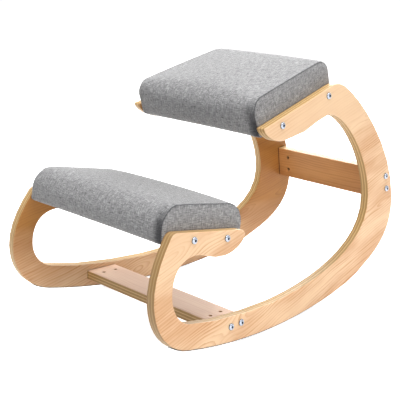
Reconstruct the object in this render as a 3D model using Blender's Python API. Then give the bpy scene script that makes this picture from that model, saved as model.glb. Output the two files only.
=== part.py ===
"""A rocking kneeling chair: two plywood side frames carry a seat pad, a knee pad and two stretchers.

Lengths are in metres and angles in degrees. X runs across the chair, the knees face -Y and Z is up.
"""

import math

import bmesh
import bpy
from mathutils import Matrix, Vector
from mathutils.geometry import interpolate_bezier

GAP = 0.0003  # clearance between pieces that touch

# Side frames, which turn in toward the back and lean in toward the top
PLY = 0.020
EDGE_ROUND = 0.003
BASE_WIDTH = 0.401  # over the outer faces, at mid length on the floor
TOE_IN = 5.0
LEAN_IN = 2.4
FRAME_LENGTH = 0.744
CURL_DEPTH = 0.0455
CURL_HEIGHT = 0.135
LEG_DEPTH = 0.0955
LEG_INNER_HEIGHT = 0.1975
LEG_OUTER_HEIGHT = 0.1775
HEEL_SETBACK = 0.086
HEEL_HEIGHT = 0.058

# Runners: one round sole under each frame, lowest below the chair's centre of mass
SOLE_RADIUS = 1.15
BALANCE_Y = -0.0316
SOLE_STEP = 2.0
SOLE_STEPS_FRONT = 6.5
SOLE_STEPS_BACK = 4.5
RUNNER_DEPTH = 0.0516
RUNNER_TOP_SETBACK = 0.023
TOE_DEPTH = 0.0497
TOE_SETBACK = 0.0835
STRIP_THICKNESS = 0.0010
STRIP_WIDTH = 0.014
STRIP_TOE = 0.040

# Knee arm: its straight top, and the points of its end, measured from the two ends of that top
KNEE_SETBACK = 0.0626
KNEE_HEIGHT = 0.2505
KNEE_SLOPE = -10.7
KNEE_ARM = 0.1646
KNEE_NOSE = (-0.0147, -0.0061)
KNEE_TIP = (0.0169, -0.0106)
KNEE_BULGE = (-0.0399, -0.0399)
KNEE_WAVE = (-0.1209, -0.0207)

# Seat arm: the same, from the tip and from the crown end
SEAT_SETBACK = 0.2275
SEAT_HEIGHT = 0.4487
SEAT_SLOPE = 14.3
SEAT_ARM = 0.2155
SEAT_TIP = (-0.0072, -0.0030)
SEAT_WAVE = (0.0543, -0.0340)
SEAT_HOOK = (-0.0121, -0.0574)
SEAT_CROWN = (0.0453, -0.0064)

# Stretchers: a flat one low in the runners and one on edge in the rear legs
STRETCHER_WIDTH = 0.068
STRETCHER_ROUND = 0.0015
STRETCHER_BOLT_SPACING = 0.0285
LOWER_SETBACK = 0.208
LOWER_HEIGHT = 0.0410
REAR_SETBACK = 0.027
REAR_HEIGHT = 0.2145
REAR_TILT = 8.0

# Bolts and barrel nuts
BOLT = 0.005
BOLT_HOLE = 0.006
BOLT_LENGTH = 0.060
HEAD = 0.013
HEAD_HEIGHT = 0.0036
HEAD_RIM = 0.0009
HEAD_SHOULDER = (0.0055, 0.0026)  # radius and height where the dome turns over
HEAD_FLAT = 0.007
SOCKET = 0.004
SOCKET_DEPTH = 0.002
NUT = 0.007
NUT_LENGTH = 0.012
NUT_SETBACK = 0.030

# Pads: a board, foam, a sewn cover with a turned-in hem and a dust cover
PAD_BOARD = 0.018
PAD_DROP = 0.026  # below the top of the arm
PAD_TUCK = 0.005
PAD_CROWN = 0.006
PAD_SEAM_CROWN = 0.3  # share of the crown left at the seams
PAD_SWELL = 0.004
SEAM_ROUND = 0.004
COVER = 0.0016
HEM = 0.034
HEM_OVERLAP = 0.010
DUST_COVER = 0.0008
PAD_BOTTOM_ROUND = 0.013
SEAT_PAD_FRONT = -0.0115  # along the arm, from the start of its straight top
SEAT_PAD_LENGTH = 0.252
SEAT_PAD_RISE = 0.050
SEAT_FRONT_ROUND = 0.024
SEAT_BACK_ROUND = 0.028
SEAT_FRONT_BOLT = 0.0555  # from the pad's front
SEAT_BACK_BOLT = 0.0435  # from the pad's back
KNEE_PAD_FRONT = -0.026
KNEE_PAD_LENGTH = 0.224
KNEE_PAD_RISE = 0.0455
KNEE_FRONT_ROUND = 0.036
KNEE_BACK_ROUND = 0.038
KNEE_FRONT_BOLT = 0.070
KNEE_BACK_BOLT = 0.066

# How finely round shapes are divided
CURVE_STEP = 8.0
CURVE_CHORD = 0.005
ROUND_SIDES = 10
NUT_HOLE_SIDES = 16
PAD_STATIONS = 8

# Colour, roughness and metallic value
BIRCH = ((0.80, 0.62, 0.40), 0.45, 0.0)
GRIP = ((0.05, 0.05, 0.05), 0.90, 0.0)
LINEN = ((0.48, 0.47, 0.48), 0.95, 0.0)
FOAM = ((0.86, 0.80, 0.58), 1.0, 0.0)
BLACK_CLOTH = ((0.03, 0.03, 0.03), 1.0, 0.0)
STEEL = ((0.72, 0.72, 0.73), 0.30, 1.0)

SIDES = {"right": 1, "left": -1}


def direction(angle):
    """The unit vector at an angle in a frame's own plane."""
    return Vector((math.cos(math.radians(angle)), math.sin(math.radians(angle))))


def panel(side):
    """Place of one side frame: its own plane is YZ, with the outer face at X = 0."""
    lift = math.sin(math.radians(LEAN_IN)) * (PLY + STRIP_WIDTH) / 2
    turn = Matrix.Rotation(math.radians(side * TOE_IN), 4, "Z")
    lean = Matrix.Rotation(math.radians(-side * LEAN_IN), 4, "Y")
    return Matrix.Translation((side * BASE_WIDTH / 2, 0.0, lift)) @ turn @ lean


def in_panel(point, depth, side=1):
    """A point of a frame's plane, at a depth behind its outer face, in the chair's space."""
    return panel(side) @ Vector((-side * depth, point.x, point.y))


def inner_half(y, z):
    """Half the width between the frames' inner faces at a place in the chair's space."""
    normal = panel(1).to_3x3() @ Vector((1.0, 0.0, 0.0))
    start = panel(1) @ Vector((-PLY, 0.0, 0.0))
    return start.x - (normal.y * (y - start.y) + normal.z * (z - start.z)) / normal.x


def sole_point(steps, rise):
    """A point on the round sole, a number of steps behind its lowest facet and raised inward."""
    angle = math.radians(steps * SOLE_STEP)
    centre = SOLE_RADIUS * math.cos(math.radians(SOLE_STEP / 2))
    radius = SOLE_RADIUS - rise
    return Vector((BALANCE_Y + radius * math.sin(angle), centre - radius * math.cos(angle)))


def sole_arc(rise):
    """The sole's points from the toe back to the heel, with a facet level at the balance point."""
    count = round(SOLE_STEPS_FRONT + SOLE_STEPS_BACK)
    return [sole_point(step - SOLE_STEPS_FRONT, rise) for step in range(count + 1)]


def above_sole(y, depth):
    """A point at a given length whose height is a depth above the frame's round underside."""
    radius = SOLE_RADIUS - STRIP_THICKNESS - GAP
    drop = math.sqrt(radius**2 - (y - BALANCE_Y) ** 2)
    return Vector((y, SOLE_RADIUS - drop + depth))


def knee_arm():
    """The two ends of the knee arm's straight top."""
    start = Vector((KNEE_SETBACK - FRAME_LENGTH / 2, KNEE_HEIGHT))
    return start, start + KNEE_ARM * direction(KNEE_SLOPE)


def seat_arm():
    """The two ends of the seat arm's straight top."""
    end = Vector((FRAME_LENGTH / 2 - SEAT_SETBACK, SEAT_HEIGHT))
    return end - SEAT_ARM * direction(SEAT_SLOPE), end


def lower_middle():
    """The middle of the lower stretcher in a frame's plane."""
    return Vector((LOWER_SETBACK - FRAME_LENGTH / 2, LOWER_HEIGHT))


def rear_middle():
    """The middle of the rear stretcher in a frame's plane."""
    return Vector((FRAME_LENGTH / 2 - REAR_SETBACK, REAR_HEIGHT))


def frame_knots():
    """Knots of the frame's outline: point, heading, and reach of the handles before and after it."""
    front = -FRAME_LENGTH / 2
    back = FRAME_LENGTH / 2
    knee_start, knee_end = knee_arm()
    seat_start, seat_end = seat_arm()
    sole = sole_arc(STRIP_THICKNESS + GAP)
    toe_angle = 180 - SOLE_STEPS_FRONT * SOLE_STEP
    heel_angle = 180 + SOLE_STEPS_BACK * SOLE_STEP
    return [
        (sole[0], toe_angle, 0.0, 0.41),
        (Vector((front, CURL_HEIGHT)), 90, 0.39, 0.30),
        (knee_start + Vector(KNEE_NOSE), 51, 0.36, 0.31),
        (knee_start, KNEE_SLOPE, 0.30, 0.33),
        (knee_end, KNEE_SLOPE, 0.33, 0.35),
        (knee_end + Vector(KNEE_TIP), -90, 0.24, 0.22),
        (knee_end + Vector(KNEE_BULGE), 180, 0.46, 0.42),
        (knee_end + Vector(KNEE_WAVE), 180, 0.26, 0.46),
        (Vector((front + CURL_DEPTH, CURL_HEIGHT)), -90, 0.43, 0.33),
        (above_sole(front + TOE_SETBACK, TOE_DEPTH), -19, 0.40, 0.21),
        (above_sole(BALANCE_Y - RUNNER_TOP_SETBACK, RUNNER_DEPTH), 0, 0.27, 0.36),
        (Vector((back - LEG_DEPTH, LEG_INNER_HEIGHT)), 90, 0.31, 0.39),
        (seat_end + Vector(SEAT_HOOK), 180, 0.22, 0.22),
        (seat_start + Vector(SEAT_WAVE), 180, 0.51, 0.54),
        (seat_start + Vector(SEAT_TIP), 90, 0.13, 0.44),
        (seat_start, SEAT_SLOPE, 0.44, 0.33),
        (seat_end, SEAT_SLOPE, 0.33, 0.43),
        (seat_end + Vector(SEAT_CROWN), -27, 0.22, 0.18),
        (Vector((back, LEG_OUTER_HEIGHT)), -90, 0.36, 0.27),
        (Vector((back - HEEL_SETBACK, HEEL_HEIGHT)), 205.6, 0.55, 0.49),
        (sole[-1], heel_angle, 0.35, 0.0),
    ]


def frame_outline():
    """The frame's outline: curves from knot to knot, closed by the round underside."""
    knots = frame_knots()
    points = []
    for here, there in zip(knots, knots[1:]):
        chord = (there[0] - here[0]).length
        leaving = here[0] + here[3] * chord * direction(here[1])
        arriving = there[0] - there[2] * chord * direction(there[1])
        across = there[0] - here[0]
        bend = across.angle(direction(here[1])) + across.angle(direction(there[1]))
        count = 2 + int(min(math.degrees(bend) / CURVE_STEP, chord / CURVE_CHORD))
        points += interpolate_bezier(here[0], leaving, arriving, there[0], count)[:-1]
    sole = sole_arc(STRIP_THICKNESS + GAP)
    return [Vector(point[:2]) for point in points] + sole[:0:-1]


def pad_frame(arm):
    """Origin, direction along and direction up of a pad lying on an arm, in the chair's YZ plane."""
    start, end = arm
    origin = in_panel(start, PLY)
    along = in_panel(end, PLY) - origin
    along = Vector((along.y, along.z)).normalized()
    return Vector((origin.y, origin.z)), along, Vector((-along.y, along.x))


def rounded(corners, rounds, inset, steps, fills):
    """A closed profile of rounded corners, moved inward, with extra points along each side."""
    points = []
    for index, corner in enumerate(corners):
        before = (corner - corners[index - 1]).normalized()
        after = (corners[(index + 1) % len(corners)] - corner).normalized()
        first = Vector((-before.y, before.x))
        last = Vector((-after.y, after.x))
        inward = (first + last) / (1 + first.dot(last))
        radius = max(rounds[index] - inset, GAP)
        centre = corner + (inset + radius) * inward
        sweep = math.acos(max(-1.0, min(1.0, first.dot(last))))
        for step in range(steps + 1):
            turn = Matrix.Rotation(sweep * step / steps, 2)
            points.append(centre - radius * (turn @ first))
    full = []
    for index, point in enumerate(points):
        full.append(point)
        after = points[(index + 1) % len(points)]
        if index % (steps + 1) == steps:
            fill = fills[index // (steps + 1)]
            full += [point.lerp(after, share / (fill + 1)) for share in range(1, fill + 1)]
    return full


def loft(rows):
    """A closed solid through rows of points, with a flat face on the first and the last row."""
    bm = bmesh.new()
    rings = [[bm.verts.new(point) for point in row] for row in rows]
    for ring, following in zip(rings, rings[1:]):
        for index in range(len(ring)):
            after = (index + 1) % len(ring)
            bm.faces.new((ring[index], ring[after], following[after], following[index]))
    bm.faces.new(rings[0])
    bm.faces.new(rings[-1])
    bmesh.ops.recalc_face_normals(bm, faces=bm.faces)
    return bm


def between_frames(profile, inset):
    """A solid with a YZ profile that reaches from frame to frame, less an inset at each end."""
    ends = []
    for side in SIDES.values():
        ends.append([(side * (inner_half(*point) - inset), *point) for point in profile])
    return loft(ends)


def ring(radius, place, sides=ROUND_SIDES):
    """A circle of points about the X axis."""
    return [Vector((place, *(radius * direction(360 * step / sides)))) for step in range(sides)]


def add_rod(bm, start, end, radius, sides=ROUND_SIDES):
    """Adds a closed cylinder from one point to another."""
    axis = end - start
    turn = axis.to_track_quat("Z", "Y").to_matrix().to_4x4()
    bmesh.ops.create_cone(
        bm,
        cap_ends=True,
        segments=sides,
        radius1=radius,
        radius2=radius,
        depth=axis.length,
        matrix=Matrix.Translation((start + end) / 2) @ turn,
    )


def finish(name, look):
    """A plain material with a colour, a roughness and a metallic value."""
    colour, roughness, metallic = look
    material = bpy.data.materials.new(name)
    material.use_nodes = True
    shader = material.node_tree.nodes["Principled BSDF"]
    shader.inputs["Base Color"].default_value = (*colour, 1.0)
    shader.inputs["Roughness"].default_value = roughness
    shader.inputs["Metallic"].default_value = metallic
    material.diffuse_color = (*colour, 1.0)
    return material


def mesh_of(name, bm):
    """A mesh from modelled geometry, smooth except at its sharp edges."""
    mesh = bpy.data.meshes.new(name)
    bm.to_mesh(mesh)
    bm.free()
    mesh.shade_smooth()
    mesh.set_sharp_from_angle(angle=math.radians(35))
    return mesh


def place(name, mesh, look, parent):
    """A named object under a parent, with its own material."""
    made = bpy.data.objects.new(name, mesh)
    bpy.context.collection.objects.link(made)
    made.parent = parent
    if not mesh.materials:
        mesh.materials.append(None)
    made.material_slots[0].link = "OBJECT"
    made.material_slots[0].material = finish(name, look)
    return made


def empty(name, parent=None, matrix=None):
    """An empty that carries other objects."""
    made = bpy.data.objects.new(name, None)
    bpy.context.collection.objects.link(made)
    made.parent = parent
    made.matrix_basis = matrix or Matrix.Identity(4)
    return made


def cut(target, name, bm):
    """Cuts a closed shape, given in the target's own space, out of the target."""
    cutter = bpy.data.objects.new(name, mesh_of(name, bm))
    bpy.context.collection.objects.link(cutter)
    cutter.parent = target.parent
    cutter.hide_render = True
    cutter.display_type = "WIRE"
    change = target.modifiers.new(name, "BOOLEAN")
    change.operation = "DIFFERENCE"
    change.solver = "EXACT"
    change.object = cutter


def cut_mesh(name, bm, cutter_bm):
    """A mesh with a shape already cut out of it, for pieces that repeat."""
    target = bpy.data.objects.new(name, mesh_of(name, bm))
    bpy.context.collection.objects.link(target)
    cut(target, name + "_cut", cutter_bm)
    cutter = target.modifiers[0].object
    evaluated = target.evaluated_get(bpy.context.evaluated_depsgraph_get())
    mesh = bpy.data.meshes.new_from_object(evaluated)
    bpy.data.objects.remove(target)
    bpy.data.objects.remove(cutter)
    mesh.shade_smooth()
    mesh.set_sharp_from_angle(angle=math.radians(35))
    return mesh


def board_middle():
    """Height of a pad board's middle, and so of its bolts, over the top of the arm."""
    return COVER + GAP + PAD_BOARD / 2 - PAD_DROP


def fastenings():
    """Each bolt's place in a frame's plane, and the way its nut's hole opens, by piece and place."""
    found = {}
    half = STRETCHER_BOLT_SPACING / 2
    found["lower", "front"] = (lower_middle() - half * direction(0), direction(90))
    found["lower", "back"] = (lower_middle() + half * direction(0), direction(90))
    rear_up = half * direction(90 + REAR_TILT)
    found["rear", "top"] = (rear_middle() + rear_up, direction(180 + REAR_TILT))
    found["rear", "bottom"] = (rear_middle() - rear_up, direction(180 + REAR_TILT))
    seat = (SEAT_PAD_FRONT + SEAT_FRONT_BOLT, SEAT_PAD_FRONT + SEAT_PAD_LENGTH - SEAT_BACK_BOLT)
    knee = (KNEE_PAD_FRONT + KNEE_FRONT_BOLT, KNEE_PAD_FRONT + KNEE_PAD_LENGTH - KNEE_BACK_BOLT)
    pads = (("seat", seat_arm(), SEAT_SLOPE, seat), ("knee", knee_arm(), KNEE_SLOPE, knee))
    for name, arm, slope, (front, back) in pads:
        level = arm[0] + board_middle() * direction(slope + 90)
        found[name, "front"] = (level + front * direction(slope), direction(slope - 90))
        found[name, "back"] = (level + back * direction(slope), direction(slope - 90))
    return found


def bolt_holes(piece, space):
    """Cutters for the bolts of one piece: through the frame, its cover or its ends."""
    bm = bmesh.new()
    for side in SIDES.values():
        for (name, _), (point, _) in fastenings().items():
            if name == piece:
                start = in_panel(point, PLY / 2, side)
                end = in_panel(point, space, side)
                add_rod(bm, start, end, BOLT_HOLE / 2)
    return bm


def nut_holes(piece):
    """Cutters for the barrel nuts of one piece, open on the side that the nuts go in from."""
    bm = bmesh.new()
    depth = PLY + GAP + NUT_SETBACK
    for side in SIDES.values():
        for (name, _), (point, mouth) in fastenings().items():
            if name == piece:
                bottom = in_panel(point - (NUT_LENGTH / 2 + GAP) * mouth, depth, side)
                top = in_panel(point + PLY * mouth, depth, side)
                add_rod(bm, bottom, top, NUT / 2 + GAP, NUT_HOLE_SIDES)
    return bm


def make_side_frame(name, side, parent):
    """A frame cut from plywood, with rounded edges and a hole for each bolt."""
    outline = frame_outline()
    faces = [[(-side * depth, *point) for point in outline] for depth in (0.0, PLY)]
    made = place("side_frame_" + name, mesh_of("side_frame_" + name, loft(faces)), BIRCH, parent)
    edge = made.modifiers.new("edge_round", "BEVEL")
    edge.width = EDGE_ROUND
    edge.segments = 2
    edge.limit_method = "ANGLE"
    edge.angle_limit = math.radians(60)
    holes = bmesh.new()
    for point, _ in fastenings().values():
        outside = Vector((side * PLY, *point))
        inside = Vector((-side * 2 * PLY, *point))
        add_rod(holes, outside, inside, BOLT_HOLE / 2)
    cut(made, "frame_holes_" + name, holes)
    return made


def toe_line(gap):
    """Points outside the toe's curve by a gap, from where the grip strip starts down to the sole."""
    outline = frame_outline()
    points = []
    left = STRIP_TOE
    for index in range(1, len(outline)):
        here = outline[index]
        step = here - outline[index - 1]
        length = min(left, step.length)
        end = here if length < left else outline[index - 1] + length * step.normalized()
        ahead = (outline[index + 1] - here) if length < left else step
        heading = (step.normalized() + ahead.normalized()).normalized()
        points.append(end + gap * Vector((-heading.y, heading.x)))
        left -= length
        if left <= 0:
            break
    return points[::-1]


def make_runner_strip(name, side, parent):
    """The grip strip under one runner, from its toe to its heel."""
    under = toe_line(GAP + STRIP_THICKNESS) + sole_arc(0.0)
    over = toe_line(GAP) + sole_arc(STRIP_THICKNESS)
    profile = under + over[::-1]
    near = (PLY - STRIP_WIDTH) / 2
    rows = [[(-side * depth, *point) for point in profile] for depth in (near, near + STRIP_WIDTH)]
    place("runner_strip_" + name, mesh_of("runner_strip_" + name, loft(rows)), GRIP, parent)


def make_stretcher(piece, centre, tilt, parent):
    """A plywood stretcher between the frames, with bolt holes in its ends and nut holes in a face."""
    middle = in_panel(centre, PLY + NUT_SETBACK)
    middle = Vector((middle.y, middle.z))
    along = STRETCHER_WIDTH / 2 * direction(tilt)
    across = PLY / 2 * direction(tilt + 90)
    corners = [middle - along - across, middle + along - across]
    corners += [middle + along + across, middle - along + across]
    profile = rounded(corners, [STRETCHER_ROUND] * 4, 0.0, 2, [0] * 4)
    name = piece + "_stretcher"
    made = place(name, mesh_of(name, between_frames(profile, GAP)), BIRCH, parent)
    cut(made, name + "_bolt_holes", bolt_holes(piece, BOLT_LENGTH + BOLT / 2))
    cut(made, name + "_nut_holes", nut_holes(piece))


class Pad:
    """One upholstered pad, laid on the arms of both frames."""

    def __init__(self, name, arm, front, length, rise, front_round, back_round):
        self.name = name
        self.frame = pad_frame(arm)
        self.front = front
        self.back = front + length
        self.rise = rise
        self.rounds = [PAD_BOTTOM_ROUND, PAD_BOTTOM_ROUND, back_round, front_round]

    def at(self, along, up):
        """A point of the pad's side view in the chair's YZ plane."""
        origin, forward, upward = self.frame
        return origin + along * forward + up * upward

    def box(self, front, back, low, high):
        """A plain rectangle of the pad's side view."""
        return [self.at(front, low), self.at(back, low), self.at(back, high), self.at(front, high)]

    def side_view(self, inset, tuck):
        """The pad's side view, moved inward, with its top, front and back tucked in at a seam."""
        corners = [
            Vector((self.front + PAD_TUCK + tuck, -PAD_DROP)),
            Vector((self.back - PAD_TUCK - tuck, -PAD_DROP)),
            Vector((self.back - tuck, self.rise - tuck)),
            Vector((self.front + tuck, self.rise - tuck)),
        ]
        return rounded(corners, self.rounds, inset, 4, (2, 1, 4, 1))

    def swollen(self, point, share):
        """The side view's point at a share of the half width, with the crown and the full front."""
        full = 1 - share**2
        along = (point.x - self.front) / (self.back - self.front)
        height = max(0.0, min(1.0, (point.y + PAD_DROP) / (self.rise + PAD_DROP)))
        domed = PAD_SEAM_CROWN + (1 - PAD_SEAM_CROWN) * full
        crown = PAD_CROWN * domed * (1 - (2 * along - 1) ** 4) * max(0.0, 2 * height - 1)
        swell = PAD_SWELL * full * math.sin(math.pi * height) * (2 * along - 1) ** 5
        return self.at(point.x + swell, point.y + crown)

    def form(self, inset):
        """The pad's soft form, inset from its outer surface and split alike at every inset."""
        seam = max(SEAM_ROUND - inset, GAP)
        rows = []
        for side in (-1, 1):
            ends = []
            for turn in (90, 60, 30):
                tuck = seam * (1 - math.cos(math.radians(turn)))
                back_off = seam * (1 - math.sin(math.radians(turn)))
                ends.append((side, tuck, back_off))
            if side < 0:
                rows += ends
                for step in range(PAD_STATIONS + 1):
                    rows.append((2 * step / PAD_STATIONS - 1, 0.0, seam))
            else:
                rows += ends[::-1]
        placed = []
        for share, tuck, back_off in rows:
            row = []
            for point in self.side_view(inset, tuck):
                spot = self.swollen(point, share)
                half = inner_half(*spot) - GAP - inset - back_off
                row.append((share * half, *spot))
            placed.append(row)
        solid = loft(placed)
        skin = [face for face in solid.faces if len(face.verts) == 4]
        bmesh.ops.triangulate(solid, faces=skin, quad_method="FIXED")
        return solid

    def make(self, parent):
        """The pad's cover, foam, board and dust cover."""
        floor = -PAD_DROP
        low = floor + COVER + GAP
        high = low + PAD_BOARD
        setback = PAD_TUCK + PAD_BOTTOM_ROUND + SEAM_ROUND
        front = self.front + setback
        back = self.back - setback
        inside = COVER + GAP

        name = self.name + "_cover"
        cover = place(name, mesh_of(name, self.form(0.0)), LINEN, parent)
        cut(cover, name + "_inside", self.form(COVER))
        opening = self.box(self.front + HEM, self.back - HEM, floor - COVER, low)
        cut(cover, name + "_opening", between_frames(opening, HEM))
        cut(cover, name + "_bolt_holes", bolt_holes(self.name, PLY + NUT_SETBACK / 2))

        name = self.name + "_board"
        board = between_frames(self.box(front, back, low, high), inside + GAP)
        board = place(name, mesh_of(name, board), BIRCH, parent)
        cut(board, name + "_bolt_holes", bolt_holes(self.name, BOLT_LENGTH + BOLT / 2))
        cut(board, name + "_nut_holes", nut_holes(self.name))

        name = self.name + "_foam"
        foam = place(name, mesh_of(name, self.form(inside)), FOAM, parent)
        room = self.box(front - GAP, back + GAP, floor - PLY, high + GAP)
        cut(foam, name + "_board_room", between_frames(room, -GAP))

        name = self.name + "_dust_cover"
        reach = HEM - HEM_OVERLAP
        sheet = self.box(self.front + reach, self.back - reach, floor - GAP - DUST_COVER, floor - GAP)
        sheet = between_frames(sheet, reach)
        place(name, mesh_of(name, sheet), BLACK_CLOTH, parent)


def bolt_mesh():
    """A button-head bolt along X, its head outside the frame's face at X = 0."""
    profile = [
        (BOLT / 2 - GAP, -BOLT_LENGTH),
        (BOLT / 2, GAP - BOLT_LENGTH),
        (BOLT / 2, GAP),
        (HEAD / 2, GAP),
        (HEAD / 2, GAP + HEAD_RIM),
        (HEAD_SHOULDER[0], GAP + HEAD_SHOULDER[1]),
        (HEAD_FLAT / 2, GAP + HEAD_HEIGHT),
    ]
    body = loft([ring(radius, distance) for radius, distance in profile])
    top = GAP + HEAD_HEIGHT
    corner = SOCKET / math.sqrt(3)
    socket = loft([ring(corner, top - SOCKET_DEPTH, 6), ring(corner, top + SOCKET_DEPTH, 6)])
    return cut_mesh("bolt", body, socket)


def nut_mesh():
    """A barrel nut along Z, with its threaded hole along X."""
    body = bmesh.new()
    half = Vector((0.0, 0.0, NUT_LENGTH / 2))
    add_rod(body, -half, half, NUT / 2)
    hole = loft([ring(BOLT / 2 + GAP, -NUT), ring(BOLT / 2 + GAP, NUT)])
    return cut_mesh("nut", body, hole)


def make_fastenings(parents):
    """A bolt through each frame into a barrel nut, at every joint."""
    bolt = bolt_mesh()
    nut = nut_mesh()
    for (piece, spot), (point, mouth) in fastenings().items():
        for side_name, side in SIDES.items():
            tail = f"{piece}_{spot}_{side_name}"
            made = place("bolt_" + tail, bolt, STEEL, parents[side_name])
            made.location = (0.0, *point)
            made.rotation_euler.z = 0.0 if side > 0 else math.pi
            made = place("barrel_nut_" + tail, nut, STEEL, parents[side_name])
            made.location = (-side * (PLY + GAP + NUT_SETBACK), *point)
            made.rotation_euler.x = math.atan2(mouth.y, mouth.x) - math.pi / 2


def centre_on_floor(chair, frames):
    """Moves the chair so that the middle of its length is at Y = 0."""
    bpy.context.view_layer.update()
    reach = []
    for frame in frames:
        solid = frame.evaluated_get(bpy.context.evaluated_depsgraph_get())
        reach += [(solid.matrix_world @ vertex.co).y for vertex in solid.data.vertices]
    chair.location.y = -(min(reach) + max(reach)) / 2


def main():
    for old in list(bpy.data.objects):
        bpy.data.objects.remove(old)
    chair = empty("chair")
    parents = {name: empty(name + "_side", chair, panel(side)) for name, side in SIDES.items()}
    frames = []
    for name, side in SIDES.items():
        frames.append(make_side_frame(name, side, parents[name]))
        make_runner_strip(name, side, parents[name])
    make_stretcher("lower", lower_middle(), 0.0, chair)
    make_stretcher("rear", rear_middle(), 90 + REAR_TILT, chair)
    seat = (SEAT_PAD_FRONT, SEAT_PAD_LENGTH, SEAT_PAD_RISE, SEAT_FRONT_ROUND, SEAT_BACK_ROUND)
    knee = (KNEE_PAD_FRONT, KNEE_PAD_LENGTH, KNEE_PAD_RISE, KNEE_FRONT_ROUND, KNEE_BACK_ROUND)
    Pad("seat", seat_arm(), *seat).make(chair)
    Pad("knee", knee_arm(), *knee).make(chair)
    make_fastenings(parents)
    centre_on_floor(chair, frames)


if __name__ == "__main__":
    main()
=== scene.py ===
"""Dresses the rocking kneeling chair: plywood, steel fastenings, sewn linen pads and the stage."""

import math

import bmesh
import bpy
import numpy as np
from bpy.props import FloatProperty, FloatVectorProperty, PointerProperty
from mathutils import Matrix, Vector, noise


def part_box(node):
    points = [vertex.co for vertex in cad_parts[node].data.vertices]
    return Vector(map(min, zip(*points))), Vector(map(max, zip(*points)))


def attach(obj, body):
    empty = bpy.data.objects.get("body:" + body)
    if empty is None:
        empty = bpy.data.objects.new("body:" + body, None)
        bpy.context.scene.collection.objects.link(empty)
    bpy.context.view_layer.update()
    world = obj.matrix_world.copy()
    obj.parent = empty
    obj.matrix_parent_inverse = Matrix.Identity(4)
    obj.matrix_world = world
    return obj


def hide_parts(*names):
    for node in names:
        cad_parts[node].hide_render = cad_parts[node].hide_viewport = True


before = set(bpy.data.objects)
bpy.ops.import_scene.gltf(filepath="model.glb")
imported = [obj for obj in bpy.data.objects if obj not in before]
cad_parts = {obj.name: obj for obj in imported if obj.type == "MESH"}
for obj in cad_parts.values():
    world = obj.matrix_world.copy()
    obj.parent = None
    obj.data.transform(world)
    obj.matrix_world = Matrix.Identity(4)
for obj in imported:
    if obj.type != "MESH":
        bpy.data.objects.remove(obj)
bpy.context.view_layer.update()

bl_info = {
    "name": "Rocking Kneeling Chair",
    "version": (1, 0, 0),
    "blender": (4, 5, 0),
    "location": "3D View > Sidebar > Chair",
    "description": "Makes the looks of a rocking kneeling chair round its CAD frame",
    "category": "Object",
}

SIDES = {"right": 1, "left": -1}

# The side frames' plywood turns in toward the back and leans in toward the top, and the rear
# stretcher and the pads are tilted
PLY = 0.020
TOE_IN = math.radians(5.0)
LEAN_IN = math.radians(2.4)
CLEARANCE = 0.0003
REAR_TILT = math.radians(8.0)
PAD_SLOPES = {"seat": math.radians(14.3), "knee": math.radians(-10.7)}


def deselect_all():
    """Leaves object mode with nothing selected."""
    if bpy.context.object and bpy.context.object.mode != "OBJECT":
        bpy.ops.object.mode_set(mode="OBJECT")
    bpy.ops.object.select_all(action="DESELECT")


def make_active(piece):
    """Selects one object alone."""
    deselect_all()
    piece.select_set(True)
    bpy.context.view_layer.objects.active = piece


def apply_modifiers(piece):
    """Applies every modifier of a piece, in order."""
    make_active(piece)
    for modifier in list(piece.modifiers):
        bpy.ops.object.modifier_apply(modifier=modifier.name)


def pick_faces(piece, wanted):
    """Selects the faces that pass a test, in edit mode."""
    bpy.ops.mesh.select_all(action="DESELECT")
    bm = bmesh.from_edit_mesh(piece.data)
    for face in [face for face in bm.faces if wanted(face)]:
        face.select_set(True)
    bmesh.update_edit_mesh(piece.data)


def smooth(piece, degrees):
    """Shades a piece smooth except at its sharp edges, and keeps its flat faces flat."""
    make_active(piece)
    bpy.ops.object.shade_smooth_by_angle(angle=math.radians(degrees))
    weighted = piece.modifiers.new("even_normals", "WEIGHTED_NORMAL")
    weighted.keep_sharp = True
    apply_modifiers(piece)


def wear(piece, material):
    """Gives a piece its material and its place on the chair."""
    piece.data.materials.clear()
    piece.data.materials.append(material)
    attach(piece, "root")


def node_copy(node, name):
    """A copy of a CAD node, with its loose triangles merged into one skin."""
    piece = bpy.data.objects.new(name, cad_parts[node].data.copy())
    bpy.context.collection.objects.link(piece)
    make_active(piece)
    bpy.ops.object.mode_set(mode="EDIT")
    bpy.ops.mesh.select_all(action="SELECT")
    bpy.ops.mesh.remove_doubles(threshold=0.00001)
    bpy.ops.object.mode_set(mode="OBJECT")
    if piece.data.has_custom_normals:
        bpy.ops.mesh.customdata_custom_splitnormals_clear()
    smooth(piece, 40)
    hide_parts(node)
    return piece


def panel_axes(side):
    """Outward, backward and upward directions of one side frame."""
    turn = Matrix.Rotation(side * TOE_IN, 3, "Z") @ Matrix.Rotation(-side * LEAN_IN, 3, "Y")
    return turn @ Vector((side, 0, 0)), turn @ Vector((0, 1, 0)), turn @ Vector((0, 0, 1))


def tilted_axes(tilt):
    """Backward and upward directions of a board that is tilted about X."""
    return Vector((0, math.cos(tilt), math.sin(tilt))), Vector((0, -math.sin(tilt), math.cos(tilt)))


def points_of(node):
    """The points of a CAD node."""
    return [vertex.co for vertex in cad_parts[node].data.vertices]


def outer_face(side_name):
    """A point on the outer face of one side frame, under the middle of the chair."""
    outward = panel_axes(SIDES[side_name])[0]
    reach = max(outward.dot(point) for point in points_of("side_frame_" + side_name))
    return Vector((reach / outward.x, 0, 0))


OUTWARD = panel_axes(1)[0]
INNER_LEVEL = OUTWARD.dot(outer_face("right")) - PLY - CLEARANCE


def inner_half(y, z):
    """Half the width between the side frames at a place, less a clearance."""
    return (INNER_LEVEL - OUTWARD.y * y - OUTWARD.z * z) / OUTWARD.x


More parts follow.
